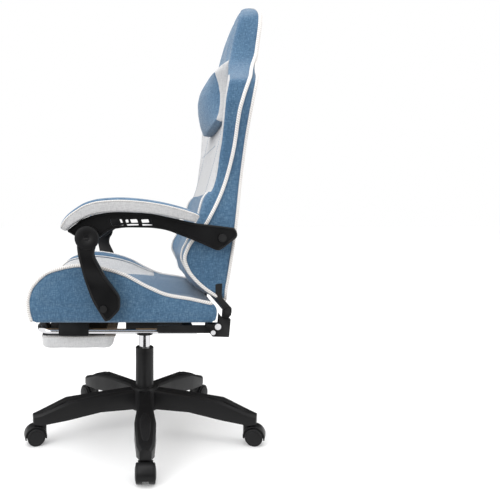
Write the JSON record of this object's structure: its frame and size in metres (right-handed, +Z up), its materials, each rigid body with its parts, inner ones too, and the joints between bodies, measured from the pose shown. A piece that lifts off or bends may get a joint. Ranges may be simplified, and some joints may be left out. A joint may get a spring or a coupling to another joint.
{
  "type": "gaming chair",
  "caption": "Upholstered gaming chair with castor base, gas lift, bucket seat, reclining back, linked armrests and pull-out footrest.",
  "frame": {"origin": "on the floor on the gas lift's axis", "axes": "+Z up, -Y the way the sitter faces, +X the sitter's left"},
  "size_m": [0.6845, 0.6934, 1.2368],
  "materials": {
    "nylon_black": "satin moulded nylon, fine grain",
    "plastic_black": "satin moulded plastic",
    "castor_tread": "smooth polyurethane tread",
    "steel_black": "black powder coat",
    "steel_bright": "zinc-plated steel",
    "chrome": "polished chrome",
    "board_wood": "raw plywood",
    "denim_blue": "heather blue woven fabric with light piping",
    "fabric_light": "light grey woven fabric",
    "strap_dark": "dark elastic webbing",
    "board_dark": "dark grey board"
  },
  "bodies": {
    "base": {"base_star": "nylon_black", "hub_ring": "plastic_black", "gas_column": "steel_black", "column_bushing": "nylon_black", "thrust_bearing": "steel_bright", "castor_stems": "steel_bright"},
    "castor_1": {"castor_1_hood": "plastic_black", "castor_1_axle": "steel_bright"},
    "castor_1_wheel_pair": {"castor_1_wheels": "castor_tread"},
    "castor_2": {"castor_2_hood": "plastic_black", "castor_2_axle": "steel_bright"},
    "castor_2_wheel_pair": {"castor_2_wheels": "castor_tread"},
    "castor_3": {"castor_3_hood": "plastic_black", "castor_3_axle": "steel_bright"},
    "castor_3_wheel_pair": {"castor_3_wheels": "castor_tread"},
    "castor_4": {"castor_4_hood": "plastic_black", "castor_4_axle": "steel_bright"},
    "castor_4_wheel_pair": {"castor_4_wheels": "castor_tread"},
    "castor_5": {"castor_5_hood": "plastic_black", "castor_5_axle": "steel_bright"},
    "castor_5_wheel_pair": {"castor_5_wheels": "castor_tread"},
    "lift_rod_body": {"lift_rod": "steel_bright", "rod_clip": "steel_bright"},
    "seat": {"gas_cylinder": "chrome", "mechanism_housing": "steel_black", "seat_board": "board_wood", "seat_cushion": "denim_blue", "seat_bolster_left": "denim_blue", "seat_bolster_right": "denim_blue", "footrest_guides": "nylon_black", "recliner_plate_left": "steel_black", "recliner_plate_right": "steel_black", "recliner_cover_left": "plastic_black", "recliner_cover_right": "plastic_black", "recliner_shaft": "steel_black", "recliner_bolts": "chrome", "upright_bolts": "steel_black"},
    "height_lever_body": {"height_lever": "plastic_black"},
    "recline_lever_body": {"recline_lever": "plastic_black"},
    "footrest_slider": {"footrest_rails": "chrome"},
    "footrest_flap": {"footrest_board": "board_dark", "footrest_pad": "fabric_light"},
    "backrest": {"backrest_frame": "steel_black", "backrest_cover": "denim_blue", "backrest_pad": "denim_blue", "backrest_wing_left": "fabric_light", "backrest_wing_right": "fabric_light", "lumbar_wing_left": "denim_blue", "lumbar_wing_right": "denim_blue", "head_pillow": "denim_blue", "pillow_strap": "strap_dark", "armrest_pins": "steel_black"},
    "armrest_left": {"armrest_beam_left": "plastic_black", "armrest_pad_left": "fabric_light"},
    "upright_left": {"arm_upright_left": "plastic_black"},
    "armrest_right": {"armrest_beam_right": "plastic_black", "armrest_pad_right": "fabric_light"},
    "upright_right": {"arm_upright_right": "plastic_black"}
  },
  "joints": [
    {"name": "castor_1_swivel", "type": "hinge", "parent": "base", "child": "castor_1", "pos_m": [0.308, 0, 0.06], "axis": [0, 0, 1], "continuous": true},
    {"name": "castor_1_roll", "type": "hinge", "parent": "castor_1", "child": "castor_1_wheel_pair", "pos_m": [0.328, 0, 0.025], "axis": [0, 1, 0], "continuous": true},
    {"name": "castor_2_swivel", "type": "hinge", "parent": "base", "child": "castor_2", "pos_m": [0.09518, 0.29292, 0.06], "axis": [0, 0, 1], "continuous": true},
    {"name": "castor_2_roll", "type": "hinge", "parent": "castor_2", "child": "castor_2_wheel_pair", "pos_m": [0.10136, 0.31195, 0.025], "axis": [-0.9511, 0.309, 0], "continuous": true},
    {"name": "castor_3_swivel", "type": "hinge", "parent": "base", "child": "castor_3", "pos_m": [-0.24918, 0.18104, 0.06], "axis": [0, 0, 1], "continuous": true},
    {"name": "castor_3_roll", "type": "hinge", "parent": "castor_3", "child": "castor_3_wheel_pair", "pos_m": [-0.26536, 0.19279, 0.025], "axis": [-0.5878, -0.809, 0], "continuous": true},
    {"name": "castor_4_swivel", "type": "hinge", "parent": "base", "child": "castor_4", "pos_m": [-0.24918, -0.18104, 0.06], "axis": [0, 0, 1], "continuous": true},
    {"name": "castor_4_roll", "type": "hinge", "parent": "castor_4", "child": "castor_4_wheel_pair", "pos_m": [-0.26536, -0.19279, 0.025], "axis": [0.5878, -0.809, 0], "continuous": true},
    {"name": "castor_5_swivel", "type": "hinge", "parent": "base", "child": "castor_5", "pos_m": [0.09518, -0.29292, 0.06], "axis": [0, 0, 1], "continuous": true},
    {"name": "castor_5_roll", "type": "hinge", "parent": "castor_5", "child": "castor_5_wheel_pair", "pos_m": [0.10136, -0.31195, 0.025], "axis": [0.9511, 0.309, 0], "continuous": true},
    {"name": "seat_swivel", "type": "hinge", "parent": "base", "child": "lift_rod_body", "pos_m": [0, 0, 0.1], "axis": [0, 0, 1], "continuous": true},
    {"name": "height_slide", "type": "slide", "parent": "lift_rod_body", "child": "seat", "axis": [0, 0, 1], "range_m": [-0.03, 0.05]},
    {"name": "height_lever_lift", "type": "hinge", "parent": "seat", "child": "height_lever_body", "pos_m": [-0.0685, 0, 0.356], "axis": [0, 1, 0], "range_deg": [0, 4], "stiffness_Nm_per_rad": 8, "springref_deg": -2.86},
    {"name": "recline_lever_lift", "type": "hinge", "parent": "seat", "child": "recline_lever_body", "pos_m": [-0.26, 0.178, 0.368], "axis": [-1, 0, 0], "range_deg": [0, 18], "stiffness_Nm_per_rad": 4, "springref_deg": -5.73},
    {"name": "footrest_slide", "type": "slide", "parent": "seat", "child": "footrest_slider", "axis": [0, -1, 0], "range_m": [0, 0.25]},
    {"name": "footrest_flip", "type": "hinge", "parent": "footrest_slider", "child": "footrest_flap", "pos_m": [0, -0.288, 0.34], "axis": [1, 0, 0], "range_deg": [-180, 0]},
    {"name": "backrest_recline", "type": "hinge", "parent": "seat", "child": "backrest", "pos_m": [0, 0.208, 0.408], "axis": [-1, 0, 0], "range_deg": [0, 60]},
    {"name": "armrest_left_pivot", "type": "hinge", "parent": "backrest", "child": "armrest_left", "pos_m": [0.27, 0.188, 0.595], "axis": [1, 0, 0], "range_deg": [0, 57]},
    {"name": "upright_left_pivot", "type": "hinge", "parent": "seat", "child": "upright_left", "pos_m": [0.27, -0.104, 0.419], "axis": [-1, 0, 0], "range_deg": [0, 61.2]},
    {"name": "armrest_right_pivot", "type": "hinge", "parent": "backrest", "child": "armrest_right", "pos_m": [-0.27, 0.188, 0.595], "axis": [1, 0, 0], "range_deg": [0, 57]},
    {"name": "upright_right_pivot", "type": "hinge", "parent": "seat", "child": "upright_right", "pos_m": [-0.27, -0.104, 0.419], "axis": [-1, 0, 0], "range_deg": [0, 61.2]}
  ],
  "couplings": [
    {"joint": "armrest_left_pivot", "follows": "backrest_recline", "ratio": 0.95},
    {"joint": "upright_left_pivot", "follows": "backrest_recline", "ratio": 1.02},
    {"joint": "armrest_right_pivot", "follows": "backrest_recline", "ratio": 0.95},
    {"joint": "upright_right_pivot", "follows": "backrest_recline", "ratio": 1.02}
  ]
}
